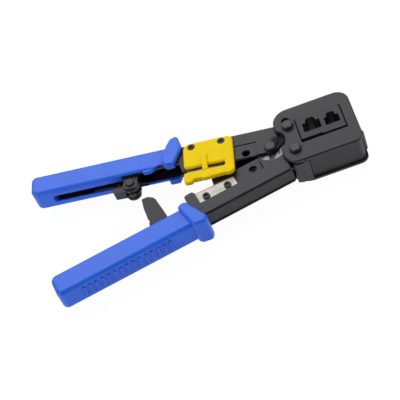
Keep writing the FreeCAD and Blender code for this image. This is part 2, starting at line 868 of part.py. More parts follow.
def make_contact_punch(label, centre, count):
    """Comb of teeth that drives a plug's contacts, standing on the beam."""
    pitch, tooth = size("punch_pitch"), size("punch_tooth")
    foot = size("beam_top")
    shoulder = foot + size("punch_setback") + size("punch_tooth_length")
    tip = size("die_bottom") + size("punch_entry")
    half = count * pitch / 2
    corners = [(centre - half, foot), (centre + half, foot), (centre + half, shoulder)]
    for index in range(count):
        right = centre + (count - 1) * pitch / 2 - index * pitch + tooth / 2
        corners += [(right, shoulder), (right, tip), (right - tooth, tip), (right - tooth, shoulder)]
    corners += [(centre - half, shoulder)]
    body = new_body(label)
    pad(body, label + "_comb", [corners], "-{punch_depth} - {punch_thickness} / 2",
        "-{punch_depth} + {punch_thickness} / 2")
    return body


def make_jacket_punches():
    """Blunt punches that press each plug's strain relief bar on to the cable jacket."""
    body = new_body("strain_relief_punch")
    foot = size("beam_top")
    tip = size("die_bottom") + size("jacket_punch_entry")
    half = size("jacket_punch_width") / 2
    shapes = []
    for centre in (0, size("narrow_pocket_x")):
        shapes.append([(centre - half, foot), (centre + half, foot),
                       (centre + half, tip, 0.8), (centre - half, tip, 0.8)])
    low = "-{jacket_punch_depth} - {jacket_punch_thickness} / 2"
    high = "-{jacket_punch_depth} + {jacket_punch_thickness} / 2"
    pad(body, "jacket_punches", shapes, low, high)
    return body


def make_trimming_blade():
    """Blade on the plunger's rear that cuts the wire ends behind the pockets, and its screws."""
    body = new_body("trimming_blade")
    inset = size("trim_blade_inset")
    left = size("die_left") + inset
    right = size("die_left") + size("die_width") - inset
    bottom = size("beam_top") - size("beam_height") + inset
    edge = size("beam_top") + size("trim_blade_rise")
    top = BEAM_BACK
    low = top + " - {trim_blade_thickness}"
    pad(body, "trim_blade_blank", [rectangle(left, bottom, right, edge)], low, top)
    keen = lambda p: abs(p.y - edge) < 1e-4 and abs(p.z - level(low)) < 1e-4
    dress(body, "Chamfer", "trim_blade_edge", "{trim_blade_thickness} * 0.7", keen)
    holes = [("circle", x, y, "{small_screw_radius} + {fit_gap}") for x, y in trim_screw_places()]
    pocket(body, "trim_blade_holes", holes, low, top)
    screws = []
    for number, (x, y) in enumerate(trim_screw_places()):
        name = "trim_screw_%d" % number
        shank = cylinder(name + "_shank", "{small_screw_radius}", low, top + " + {trim_screw_length}", x, y)
        head = cylinder(name + "_head", "{small_screw_radius} * 1.7", BACK, low, x, y)
        screws.append(joined(name, [shank, head]))
    return [body, group("trimming_blade_screws", screws)]


# ---------------------------------------------------------------- lower arm

def lobe_strap(start, end, half_width):
    """Four corners of a straight strap between two pivots, for a given half width."""
    along = (end - start).normalize()
    side = FreeCAD.Vector(-along.y, along.x, 0) * half_width
    return [tuple(p)[:2] for p in (start - side, end - side, end + side, start + side)]


def make_lower_channel():
    """Pressed channel of the lower handle: two cheeks joined by a web along the outer side."""
    body = new_body("lower_arm_channel")
    outer, inner = size("lower_outer"), size("lower_inner")
    waist, length, shoulder = size("lower_waist"), size("arm_length"), size("arm_shoulder")
    blade_start = size("blade_start")
    stop_start = blade_start + size("blade_length")
    tip, rim_end = size("lower_arm_tip"), size("rim_end")
    recessed = outer - size("rim_overhang")
    cheek = [
        lower(-3.6, 13.2),
        lower(tip, recessed, 1.5),
        lower(rim_end, recessed),
        lower(rim_end, outer),
        lower(length, outer),
        lower(length, waist),
        lower(shoulder + 3.2, waist),
        lower(shoulder + 3.2, 8.4),
        lower(stop_start, 8.4),
        lower(stop_start, 7.0),
        lower(45.5, 7.0),
        lower(44.0, -1.6, 0.5),
        lower(blade_start - 1.0, -1.6, 0.5),
        lower(28.0, inner),
        lower(6.0, inner),
    ]
    foot_strap = lobe_strap(FreeCAD.Vector(0, 0, 0), PIN_IN_LOWER, size("foot_radius") * 0.85)
    lap = ("circle", 0, 0, "{washer_radius} + {lower_lap_margin}")
    foot = ("circle", PIN_IN_LOWER.x, PIN_IN_LOWER.y, "{foot_radius}")
    for side, low, high in (("front", LOWER_LOW, LOWER_TOP),
                            ("rear", mirrored(LOWER_TOP), mirrored(LOWER_LOW))):
        pad(body, "lower_cheek_" + side, [cheek], low, high)
        pad(body, "lower_lap_" + side, [lap], low, high)
        pad(body, "lower_foot_" + side, [foot], low, high)
        pad(body, "lower_strap_" + side, [foot_strap], low, high)
    thick = size("web_thickness")
    web = [
        lower(tip, recessed, 1.0),
        lower(rim_end, recessed),
        lower(rim_end, outer),
        lower(length, outer),
        lower(length, outer - thick),
        lower(rim_end, outer - thick),
        lower(rim_end, recessed - thick),
        lower(tip, recessed - thick),
    ]
    pad(body, "lower_web", [web], mirrored(LOWER_LOW) + " - {layer_gap}", LOWER_LOW + " + {layer_gap}")
    pivots = [
        ("circle", 0, 0, "{pin_radius} + {running_gap}"),
        ("circle", PIN_IN_LOWER.x, PIN_IN_LOWER.y, "{pin_radius} + {running_gap}"),
    ]
    pocket(body, "lower_pin_holes", pivots, mirrored(LOWER_TOP), LOWER_TOP)
    seat = [("circle", 0, 0, "{washer_radius} + {running_gap}")]
    depth = LOWER_TOP + " + {running_gap} - {washer_thickness}"
    pocket(body, "front_washer_seat", seat, depth, LOWER_TOP)
    pocket(body, "rear_washer_seat", seat, mirrored(LOWER_TOP), mirrored(depth))
    screw_hole = [("circle",) + lower(*SET_SCREW) + ("{pin_radius}",)]
    pocket(body, "set_screw_hole", screw_hole, LOWER_LOW, LOWER_TOP)
    blade_holes = [("circle",) + lower(s, n) + ("{small_screw_radius}",) for s, n in BLADE_SCREWS]
    pocket(body, "blade_screw_holes", blade_holes, LOWER_LOW, LOWER_TOP)
    place_on_lower(body)
    return body


BLADE_SCREWS = [
    (size("blade_start") + size("blade_length") - size("blade_screw_far"), size("blade_screw_depth")),
    (size("blade_start") + size("blade_screw_near"), size("blade_screw_depth")),
]
SET_SCREW = (17.3, 7.8)


def rim_outline():
    outer = size("lower_outer")
    stop_start = size("blade_start") + size("blade_length")
    blade_heel = size("blade_heel") + size("fit_gap")
    return [
        lower(size("lower_arm_tip"), outer, 1.5),
        lower(stop_start + 6.0, outer),
        lower(stop_start + 6.0, 18.2),
        lower(stop_start, 18.2),
        lower(stop_start, blade_heel),
        lower(size("blade_start"), blade_heel),
        lower(size("blade_start"), 13.0),
        lower(10.8, 13.0, 0.8),
        lower(10.8, 3.6),
        lower(3.0, 3.6),
        lower(-4.0, 8.0),
        lower(-4.6, 13.2),
        lower(-5.0, 20.5),
    ]


def make_rim_plate(label, low, high, face):
    """Thick cover strip along a cheek's outer half, cut round the main pivot."""
    body = new_body(label)
    outer = size("lower_outer")
    pad(body, label + "_blank", [rim_outline()], low, high)
    pocket(body, label + "_pivot_cut", [("circle", 0, 0, "{lap_cutout_radius}")], low, high)
    on_outside = lambda p: abs(p.z - level(face)) < 1e-4 and abs(p.y + outer) < 1e-4
    dress(body, "Chamfer", label + "_bevel", "{cheek_thickness} * 0.6", on_outside)
    place_on_lower(body)
    return body


def make_rim_plates():
    front = make_rim_plate("lower_arm_front_plate", LOWER_TOP, RIM_TOP, RIM_TOP)
    rear = make_rim_plate("lower_arm_rear_plate", mirrored(RIM_TOP), mirrored(LOWER_TOP), mirrored(RIM_TOP))
    return [front, rear]


def make_cutter_blade():
    """Long blade screwed to the lower arm's front cheek, ground to an edge on its inner side."""
    body = new_body("cutter_blade")
    start = size("blade_start")
    end = start + size("blade_length")
    heel = size("blade_heel")
    near, far = size("blade_edge_near"), size("blade_edge_far")
    outline = [lower(start, heel), lower(end, heel), lower(end, far), lower(start, near)]
    pad(body, "blade_blank", [outline], LOWER_TOP, BLADE_TOP)
    keen = lambda p: abs(p.z - level(BLADE_TOP)) < 1e-4 and p.y > -near - 0.01
    dress(body, "Chamfer", "blade_edge", "{blade_thickness} * 0.7", keen)
    holes = [("circle",) + lower(s, n) + ("{small_screw_radius} + {fit_gap}",) for s, n in BLADE_SCREWS]
    pocket(body, "blade_holes", holes, LOWER_TOP, BLADE_TOP)
    place_on_lower(body)
    return body


def make_blade_screws():
    """Low-headed socket screws that hold the blade."""
    screws = []
    for number, (s, n) in enumerate(BLADE_SCREWS):
        name = "blade_screw_%d" % number
        x, y = lower(s, n)
        shank = cylinder(name + "_shank", "{small_screw_radius}", LOWER_LOW, BLADE_TOP, x, y)
        head = cylinder(name + "_head", "{cap_screw_radius}", BLADE_TOP, SCREW_TOP, x, y)
        socket = hexagon_socket(name + "_socket", size("small_screw_radius") * 1.6,
                                SCREW_TOP + " - {cap_screw_height} * 0.8", SCREW_TOP, x, y)
        screws.append(cut(name, joined(name + "_whole", [shank, head]), socket))
    item = group("cutter_blade_screws", screws)
    place_on_lower(item)
    return item


def make_handle_stop():
    """Block between blade and grip that the upper arm closes on to."""
    body = new_body("handle_stop")
    start = size("blade_start") + size("blade_length")
    crest = [lower(start, 4.2), lower(start + 1.4, 2.3, 0.8), lower(start + 5.0, 2.2, 0.8),
             lower(start + 7.4, 3.0, 0.8)]
    front = crest + [lower(start + 7.4, 9.0), lower(65.2, 11.5), lower(62.4, 18.0), lower(start, 18.0)]
    middle = crest + [lower(start + 7.4, 8.2), lower(start, 8.2)]
    pad(body, "stop_middle", [middle], mirrored(RIM_TOP), RIM_TOP)
    pad(body, "stop_front", [front], LOWER_TOP, RIM_TOP)
    pad(body, "stop_rear", [front], mirrored(RIM_TOP), mirrored(LOWER_TOP))
    place_on_lower(body)
    return body


def make_set_screw():
    """Recessed socket set screw in the lower arm's pad."""
    x, y = lower(*SET_SCREW)
    low = LOWER_LOW + " - {set_screw_reach}"
    high = LOWER_TOP + " - {set_screw_recess}"
    plug = cylinder("set_screw_plug", "{pin_radius}", low, high, x, y)
    socket = hexagon_socket("set_screw_socket", size("pin_radius"), high + " - {set_screw_reach}",
                            high, x, y)
    item = cut("arm_set_screw", plug, socket)
    place_on_lower(item)
    return labelled(item, "arm_set_screw")


def make_grip(label, where, inner, outer, flange, turn, metal, openings, scallop=None):
    """Moulded grip with its flange, hollow for the arm and open towards the other handle."""
    body = new_body(label)
    start, length = size("grip_start") + size("grip_overlap"), size("grip_length")
    outline = [
        where(start, inner),
        where(length, inner, 4.6),
        where(length, outer, 4.0),
        where(start, outer),
    ]
    pad(body, label + "_sleeve", [outline], GRIP_BACK, GRIP_TOP)
    dress(body, "Fillet", label + "_rounds", "{grip_round}", at_level(GRIP_TOP, GRIP_BACK))
    pad(body, label + "_flange", [flange], FLANGE_BACK, FLANGE_TOP)
    if scallop:
        pocket(body, label + "_scallop", [scallop], MIDDLE, FLANGE_TOP)
    dress(body, "Fillet", label + "_flange_rounds", turn, at_level(FLANGE_TOP, FLANGE_BACK))
    pocket(body, label + "_hollow", [metal], mirrored(UPPER_TOP) + " - {fit_gap}",
           UPPER_TOP + " + {fit_gap}")
    for number, (shape, half) in enumerate(openings):
        low = "{0} - {1!r}".format(MIDDLE, half)
        high = "{0} + {1!r}".format(MIDDLE, half)
        pocket(body, "%s_opening_%d" % (label, number), [shape], low, high)
    return body


def make_lower_grip():
    """Grip of the lower handle, with moulded ribs along its outer face."""
    inner, outer = size("lower_grip_inner"), size("lower_grip_outer")
    gap = size("fit_gap")
    flange = [
        lower(67.2, 8.9, 3.0),
        lower(58.8, 27.9, 2.6),
        lower(61.5, 32.2, 2.6),
        lower(69.9, 30.4, 4.0),
        lower(73.9, 9.8, 3.0),
    ]
    metal = [
        lower(50.0, size("lower_waist") - gap),
        lower(size("arm_length") + gap, size("lower_waist") - gap),
        lower(size("arm_length") + gap, size("lower_outer") + gap),
        lower(50.0, size("lower_outer") + gap),
    ]
    blade_slot = [lower(80.6, 9.0), lower(94.6, 9.0), lower(97.5, 22.0), lower(80.6, 22.0)]
    body = make_grip("lower_grip", lower, inner, outer, flange, "{lower_flange_round}", metal,
                     [(blade_slot, size("strike_thickness") / 2 + gap)])
    place_on_lower(body)
    return body


def make_grip_ribs():
    """Row of raised bars moulded on the lower grip's outer face."""
    outer = size("lower_grip_outer")
    half = size("rib_width") / 2
    bars = []
    for index in range(int(size("rib_count"))):
        s = size("rib_start") + index * size("rib_pitch")
        bars.append(rectangle(-s - half, -outer - size("rib_height"), -s + half, -outer))
    body = new_body("lower_grip_ribs")
    pad(body, "grip_rib_bars", bars, GRIP_BACK + " + {rib_margin}", GRIP_TOP + " - {rib_margin}")
    place_on_lower(body)
    return body


STRIKE_LOW = MIDDLE + " - {strike_thickness} / 2"
STRIKE_TOP = MIDDLE + " + {strike_thickness} / 2"


def make_strike_plate():
    """Flat hook fixed in the lower handle that the lock catch takes hold of."""
    body = new_body("strike_plate")
    outline = [
        lower(90.9, -17.9, 1.0),
        lower(92.6, -9.2),
        lower(93.0, -4.4),
        lower(93.4, -0.6),
        lower(92.0, 1.1),
        lower(93.1, 2.3),
        lower(94.2, 4.6),
        lower(96.2, 20.0),
        lower(81.2, 20.0),
        lower(81.3, 4.3),
        lower(82.5, -12.1),
        lower(83.6, -14.7),
        lower(86.4, -17.2),
    ]
    pad(body, "strike_blank", [outline], STRIKE_LOW, STRIKE_TOP)
    holes = [("circle",) + lower(s, n) + ("{rivet_radius}",) for s, n in STRIKE_RIVETS]
    pocket(body, "strike_holes", holes, STRIKE_LOW, STRIKE_TOP)
    place_on_lower(body)
    return body


STRIKE_RIVETS = [(84.5, 17.4), (91.5, 17.4)]


def make_strike_rivets():
    """Rivets through the strike plate and both cheeks of the lower arm, with their spacers."""
    rivets = []
    for number, (s, n) in enumerate(STRIKE_RIVETS):
        x, y = lower(s, n)
        name = "strike_rivet_%d" % number
        shaft = cylinder(name + "_shaft", "{rivet_radius}", mirrored(LOWER_LOW), LOWER_LOW, x, y)
        front = cylinder(name + "_front", "{rivet_radius} * 1.8", STRIKE_TOP, LOWER_LOW, x, y)
        rear = cylinder(name + "_rear", "{rivet_radius} * 1.8", mirrored(LOWER_LOW), STRIKE_LOW, x, y)
        rivets.append(joined(name, [shaft, front, rear]))
    item = group("strike_plate_rivets", rivets)
    place_on_lower(item)
    return item


# ---------------------------------------------------------------- upper arm

def make_upper_channel():
    """Pressed channel of the upper handle, with its tongue to the drive pin."""
    body = new_body("upper_arm_channel")
    outer, inner = size("upper_outer"), size("upper_inner")
    waist, length, shoulder = size("upper_waist"), size("arm_length"), size("arm_shoulder")
    cheek = [
        upper(-5.6, outer, 1.5),
        upper(length, outer),
        upper(length, waist),
        upper(shoulder + 2.0, waist),
        upper(shoulder, inner, 1.5),
        upper(3.0, inner),
        upper(0.0, 0.0),
        upper(-5.2, 3.0),
    ]
    tongue = lobe_strap(FreeCAD.Vector(0, 0, 0), PIN_IN_UPPER, size("tongue_radius") * 0.75)
    lap = ("circle", 0, 0, "{tongue_radius} + {upper_lap_margin}")
    tip = ("circle", PIN_IN_UPPER.x, PIN_IN_UPPER.y, "{tongue_radius}")
    step = UPPER_LOW + " + {tongue_thickness}"
    for side, low, high, tongue_low, tongue_high in (
            ("front", UPPER_LOW, UPPER_TOP, UPPER_LOW, step),
            ("rear", mirrored(UPPER_TOP), mirrored(UPPER_LOW), mirrored(step), mirrored(UPPER_LOW))):
        pad(body, "upper_cheek_" + side, [cheek], low, high)
        pad(body, "upper_lap_" + side, [lap], low, high)
        pad(body, "upper_tip_" + side, [tip], tongue_low, tongue_high)
        pad(body, "upper_tongue_" + side, [tongue], tongue_low, tongue_high)
    web = [
        upper(0.0, outer),
        upper(length, outer),
        upper(length, outer - size("web_thickness")),
        upper(0.0, outer - size("web_thickness")),
    ]
    pad(body, "upper_web", [web], mirrored(UPPER_LOW) + " - {layer_gap}", UPPER_LOW + " + {layer_gap}")
    pivots = [
        ("circle", 0, 0, "{pin_radius} + {running_gap}"),
        ("circle", PIN_IN_UPPER.x, PIN_IN_UPPER.y, "{pin_radius} + {running_gap}"),
    ]
    pocket(body, "upper_pin_holes", pivots, mirrored(UPPER_TOP), UPPER_TOP)
    pad_area = [upper(9.5, 8.0), upper(9.5, inner - 1.0), upper(24.6, inner - 1.0), upper(24.6, 8.0)]
    pocket(body, "upper_pad", [pad_area], UPPER_TOP + " - {pad_depth}", UPPER_TOP)
    pad_hole = [("circle",) + upper(16.8, 0.2) + ("{pin_radius}",)]
    pocket(body, "upper_pad_hole", pad_hole, UPPER_LOW, UPPER_TOP)
    catch_window = [upper(78.0, outer + 1.0), upper(98.0, outer + 1.0), upper(98.0, 14.0),
                    upper(78.0, 14.0)]
    pocket(body, "strike_window", [catch_window], STRIKE_LOW + " - {arm_gap} * 4",
           STRIKE_TOP + " + {arm_gap} * 4")
    seat = anvil_outline(size("anvil_reach"))
    pocket(body, "anvil_seat", [seat], UPPER_LOW, UPPER_LOW + " + {anvil_thickness}")
    holes = [("circle",) + upper(s, n) + ("{small_screw_radius}",) for s, n in GUARD_SCREWS]
    pocket(body, "guard_screw_holes", holes, UPPER_LOW, UPPER_TOP)
    place_on_upper(body)
    return body


GUARD_SCREWS = [(53.2, 13.4), (32.5, 13.4)]


def anvil_outline(reach):
    """Strip along the upper arm's inner edge, reaching a given depth into the cheek."""
    start = size("blade_start") + size("anvil_inset")
    end = start + size("anvil_length")
    inner = size("upper_inner")
    edge = inner - size("anvil_proud")
    return [upper(start, edge), upper(end, edge), upper(end, inner + reach),
            upper(start, inner + reach)]


def make_anvil():
    """Hard strip that the cutter blade closes on to."""
    body = new_body("cutting_anvil")
    pad(body, "anvil_strip", [anvil_outline(size("anvil_reach"))], UPPER_LOW,
        UPPER_LOW + " + {anvil_thickness}")
    place_on_upper(body)
    return body


def make_guard():
    """Moulded guard over the blade: plate, cross strip, rail along the blade and a bridging rib."""
    body = new_body("blade_guard")
    start, end = size("guard_start"), size("guard_end")
    strip = start + size("guard_strip")
    inner = size("upper_inner") - 0.2
    near, far = -size("rail_near"), -size("rail_far")
    outer = size("upper_outer")
    plate = [upper(start, outer, 4.2), upper(end, outer, 5.0), upper(end, inner, 2.6), upper(strip, inner),
             upper(start, inner)]
    pad(body, "guard_plate", [plate], UPPER_TOP, GUARD_TOP)
    cross = [upper(start, inner + 3.0), upper(strip, inner + 3.0), upper(strip, near), upper(start, near)]
    pad(body, "guard_strip", [cross], UPPER_TOP, GUARD_TOP)
    dress(body, "Fillet", "guard_plate_rounds", "{guard_round}", at_level(GUARD_TOP))
    rail = [
        upper(start, near + 0.6),
        upper(strip, near + 0.6),
        upper(strip + 0.8, near),
        upper(end, near, 1.5),
        upper(end + 0.2, far, 2.2),
        upper(54.2, far, 1.6),
        upper(52.2, far + 2.2, 1.2),
        upper(47.6, far + 2.0, 1.2),
        upper(45.8, far + 1.2, 1.2),
        upper(32.0, far + 2.2, 4.0),
        upper(start, far + 1.2, 4.0),
    ]
    pad(body, "guard_rail", [rail], RAIL_LOW, "{rib_rise}")
    dress(body, "Fillet", "guard_rail_rounds", "{rail_round}", at_level("{rib_rise}"))
    left = size("bridge_centre") + size("bridge_width") / 2
    right = size("bridge_centre") - size("bridge_width") / 2
    rib = [upper(right, 5.0, 1.0), upper(left, 5.0, 1.0), upper(left, near), upper(right, near)]
    pad(body, "guard_rib", [rib], RAIL_LOW, "{rib_rise}")
    holes = [("circle",) + upper(s, n) + ("{small_screw_radius} + {fit_gap}",) for s, n in GUARD_SCREWS]
    pocket(body, "guard_holes", holes, UPPER_TOP, GUARD_TOP)
    sinks = [("circle",) + upper(s, n) + ("{cap_screw_radius} + {fit_gap}",) for s, n in GUARD_SCREWS]
    pocket(body, "guard_sinks", sinks, GUARD_SEAT, GUARD_TOP)
    place_on_upper(body)
    return body


def make_guard_screws():
    """Socket screws that hold the guard to the upper arm."""
    screws = []
    top = GUARD_SEAT + " + {cap_screw_height}"
    for number, (s, n) in enumerate(GUARD_SCREWS):
        x, y = upper(s, n)
        name = "guard_screw_%d" % number
        shank = cylinder(name + "_shank", "{small_screw_radius}", UPPER_LOW, GUARD_SEAT, x, y)
        head = cylinder(name + "_head", "{cap_screw_radius}", GUARD_SEAT, top, x, y)
        socket = hexagon_socket(name + "_socket", size("small_screw_radius") * 1.6,
                                top + " - {cap_screw_height} * 0.8", top, x, y)
        screws.append(cut(name, joined(name + "_whole", [shank, head]), socket))
    item = group("guard_screws", screws)
    place_on_upper(item)
    return item


def make_upper_grip():
    """Grip of the upper handle, slotted for the strike plate and the catch spring."""
    inner, outer = size("upper_grip_inner"), size("upper_grip_outer")
    gap = size("fit_gap")
    flange = [
        upper(62.4, 25.8, 2.2),
        upper(59.5, 15.2, 2.4),
        upper(66.4, 1.2, 1.8),
        upper(73.4, 1.2, 1.8),
        upper(74.0, 8.0, 2.0),
        upper(70.6, 18.6, 3.0),
        upper(67.6, 24.0, 2.0),
    ]
    metal = [
        upper(50.0, size("upper_waist") - gap),
        upper(size("arm_length") + gap, size("upper_waist") - gap),
        upper(size("arm_length") + gap, size("upper_outer") + gap),
        upper(50.0, size("upper_outer") + gap),
    ]
    passage = [upper(58.0, -4.0), upper(88.0, -4.0), upper(88.0, 8.0), upper(58.0, 8.0)]
    bracket = [upper(87.9, 0.0), upper(103.4, 0.0), upper(103.4, 8.0), upper(87.9, 8.0)]
    slot_end, slot_half = size("grip_length") - size("grip_slot_margin"), size("grip_slot_half")
    slot = [upper(103.2, 0.0), upper(slot_end, 0.0), upper(slot_end, 8.0), upper(103.2, 8.0)]
    passage_half = size("arm_depth") / 2 - size("passage_inset")
    bracket_half = size("arm_depth") / 2 - size("bracket_inset")
    scallop = [upper(58.0, 2.0), upper(71.0, 1.9, 1.5), upper(74.2, 4.6, 1.5), upper(76.6, 4.9, 2.5),
               upper(82.0, 2.4, 2.0), upper(82.0, -1.0), upper(58.0, -1.0)]
    body = make_grip("upper_grip", upper, inner, outer, flange, "{upper_flange_round}", metal,
                     [(passage, passage_half), (bracket, bracket_half), (slot, slot_half)], scallop)
    rim = lambda p: abs(p.x + slot_end) < 1e-3 and abs(abs(p.z - level(MIDDLE)) - slot_half) < 1e-3
    dress(body, "Fillet", "upper_grip_slot_end", "{grip_slot_half} * 0.9", rim)
    swell = [upper(80.4, 3.2), upper(82.4, 1.6, 1.2), upper(87.9, 1.4, 0.6), upper(87.9, 3.2)]
    pad(body, "upper_grip_swell", [swell], GRIP_TOP + " - {swell_drop} - {swell_depth}",
        GRIP_TOP + " - {swell_drop}")
    place_on_upper(body)
    return body


def make_catch_bracket():
    """Two plates riveted inside the upper channel that carry the lock catch."""
    def cheek(reach, turn):
        return [upper(92.8, 12.0), upper(92.8, reach, turn), upper(102.6, reach, turn), upper(102.6, 12.0)]

    body = new_body("catch_bracket")
    front = (UPPER_LOW + " - {bracket_thickness}", UPPER_LOW)
    rear = (mirrored(front[1]), mirrored(front[0]))
    pad(body, "bracket_front", [cheek(-6.8, 2.5)], *front)
    bridge = [upper(92.8, 12.0), upper(92.8, 10.0), upper(102.6, 10.0), upper(102.6, 12.0)]
    pad(body, "bracket_bridge", [bridge], rear[0], front[1])
    pad(body, "bracket_rear", [cheek(-9.4, 4.6)], *rear)
    hole = [("circle",) + catch_pivot() + ("{rivet_radius}",)]
    pocket(body, "bracket_hole", hole, rear[0], front[1])
    gap = [upper(89.0, 13.0), upper(96.9, 13.0), upper(96.9, 9.0), upper(89.0, 9.0)]
    pocket(body, "bracket_gap", [gap], MIDDLE + " - {bracket_gap_half}", MIDDLE + " + {bracket_gap_half}")
    place_on_upper(body)
    return body


def catch_pivot():
    return upper(size("catch_pivot_s"), size("catch_pivot_n"))


def make_catch_rivet():
    """Headed rivet that the lock catch turns on."""
    x, y = catch_pivot()
    shaft = cylinder("catch_rivet_shaft", "{rivet_radius}", mirrored(UPPER_LOW), UPPER_LOW, x, y)
    face = UPPER_LOW + " + {rivet_head_height}"
    front = cylinder("catch_rivet_front", "{rivet_radius} * 1.7", UPPER_LOW, face, x, y)
    rear = cylinder("catch_rivet_rear", "{rivet_radius} * 1.7", mirrored(face), mirrored(UPPER_LOW), x, y)
    item = joined("catch_rivet", [shaft, front, rear])
    place_on_upper(item)
    return labelled(item, "catch_rivet")


def make_lock_catch():
    """Forked catch with a thumb tab, its hook between two discs on the rivet."""
    body = new_body("lock_catch")
    x, y = catch_pivot()
    hub = "{strike_thickness} / 2 + {arm_gap}"
    disc = hub + " + {catch_disc_thickness}"
    hook = [upper(96.3, -5.0), upper(95.3, -9.2, 0.5), upper(98.2, -10.4, 0.6), upper(101.0, -6.0),
            upper(99.0, -2.3)]
    tab = [upper(100.5, -4.6), upper(101.8, -7.6, 1.0), upper(110.1, -7.2, 1.0), upper(111.2, -3.0, 0.6),
           upper(104.6, -2.4)]
    arm = [upper(98.5, -1.2), upper(101.0, -5.0), upper(107.0, -4.0), upper(109.2, 2.6, 0.8),
           upper(107.0, 3.2, 0.8), upper(104.4, -1.4)]
    pad(body, "catch_discs", [("circle", x, y, "{catch_radius}")], MIDDLE + " - (" + disc + ")",
        MIDDLE + " + (" + disc + ")")
    pad(body, "catch_tab", [tab], MIDDLE + " - (" + disc + ")", MIDDLE + " + (" + disc + ")")
    groove = [upper(102.2, -14.0), upper(102.2, 5.0), upper(88.0, 5.0), upper(88.0, -14.0)]
    pocket(body, "catch_fork", [groove], MIDDLE + " - (" + hub + ")", MIDDLE + " + (" + hub + ")")
    pad(body, "catch_hub", [("circle", x, y, "{catch_hub_radius}")], MIDDLE + " - (" + hub + ")",
        MIDDLE + " + (" + hub + ")")
    pad(body, "catch_hook", [hook], STRIKE_LOW, STRIKE_TOP)
    pad(body, "catch_arm", [arm], STRIKE_LOW, STRIKE_TOP)
    pocket(body, "catch_bore", [("circle", x, y, "{rivet_radius} + {running_gap}")],
           MIDDLE + " - (" + disc + ")", MIDDLE + " + (" + disc + ")")
    pocket(body, "spring_eye", [("circle",) + upper(107.8, 1.6) + ("{catch_spring_wire} * 1.6",)],
           STRIKE_LOW, STRIKE_TOP)
    place_on_upper(body)
    return body


def make_catch_spring():
    """Close-wound tension spring between the catch and the grip's slot."""
    wire = size("catch_spring_wire")
    turn_radius = size("catch_spring_radius") - wire
    coil = Part.makeLongHelix(wire * 3.2, size("catch_spring_length"), turn_radius, 0, False)
    start = FreeCAD.Vector(turn_radius, 0, 0)
    section = Part.Wire([Part.makeCircle(wire, start, FreeCAD.Vector(0, 1, 0))])
    swept = Part.Wire(coil.Edges).makePipeShell([section], True, True)
    item = doc.addObject("Part::Feature", "catch_spring_coil")
    item.Shape = swept
    turn = FreeCAD.Rotation(FreeCAD.Vector(0, 1, 0), -90)
    spot = upper(109.7, 2.4)
    item.Placement = FreeCAD.Placement(FreeCAD.Vector(spot[0], spot[1], level(MIDDLE)), turn)
    whole = group("catch_spring", [item])
    place_on_upper(whole)
    return whole


# ---------------------------------------------------------------- assembly and export

def make_all():
    """Build every sub-part; each is one node of the assembly."""
    parts = []
    parts += make_head_plates()
    parts += [make_side_wall(), make_nose_bar(), make_backing_block(), make_head_screws(), make_die_block()]
    parts += [make_corner_post()]
    parts += make_head_pins()
    parts += make_spacers()
    parts += make_main_pivot()
    parts += [make_plunger(), make_contact_punch("contact_punch_8p", 0, 8)]
    parts += [make_contact_punch("contact_punch_6p", size("narrow_pocket_x"), 6), make_jacket_punches()]
    parts += make_trimming_blade()
    parts += [make_lower_channel()]
    parts += make_rim_plates()
    parts += [make_cutter_blade(), make_blade_screws(), make_handle_stop(), make_set_screw()]
    parts += [make_lower_grip(), make_grip_ribs(), make_strike_plate(), make_strike_rivets()]
    parts += [make_upper_channel(), make_anvil(), make_guard(), make_guard_screws(), make_upper_grip()]
    parts += [make_catch_bracket(), make_catch_rivet(), make_lock_catch(), make_catch_spring()]
    return parts


def check(parts):
    """Stop if any object is in error or any sub-part is empty or invalid."""
    doc.recompute()
    for item in doc.Objects:
        if "Invalid" in item.State or "Error" in item.State:
            raise ValueError(item.Label + " is in error")
    for item in parts:
        if item.Shape.isNull() or not item.Shape.isValid():
            raise ValueError(item.Label + " has no valid shape")


nodes = make_all()
check(nodes)
os.makedirs("parts", exist_ok=True)
for node in nodes:
    node.Shape.exportStep("parts/%s.step" % node.Label)
    print(node.Label, len(node.Shape.Solids), round(node.Shape.Volume, 1))
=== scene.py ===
"""Looks of a modular plug crimping tool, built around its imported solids.

The tool lies on its back: X runs along the head, Y towards the upper handle, Z out of the front face.
"""

from math import cos, pi, radians, sin

import bpy
from mathutils import Matrix, Vector


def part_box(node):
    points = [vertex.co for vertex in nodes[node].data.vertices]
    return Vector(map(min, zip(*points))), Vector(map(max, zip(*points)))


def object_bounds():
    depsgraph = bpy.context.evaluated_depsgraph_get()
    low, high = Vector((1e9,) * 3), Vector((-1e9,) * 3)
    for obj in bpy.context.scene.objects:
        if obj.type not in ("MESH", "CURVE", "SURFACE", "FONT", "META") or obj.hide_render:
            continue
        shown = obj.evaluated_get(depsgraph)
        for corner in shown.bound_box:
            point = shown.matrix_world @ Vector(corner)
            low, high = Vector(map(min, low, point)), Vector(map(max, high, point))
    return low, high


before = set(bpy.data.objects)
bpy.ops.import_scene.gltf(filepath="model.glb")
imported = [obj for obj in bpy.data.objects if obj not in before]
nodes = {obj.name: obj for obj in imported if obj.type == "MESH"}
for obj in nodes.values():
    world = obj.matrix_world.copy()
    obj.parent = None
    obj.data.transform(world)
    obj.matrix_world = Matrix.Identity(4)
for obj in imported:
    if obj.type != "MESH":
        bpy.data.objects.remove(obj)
cad_low, cad_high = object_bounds()
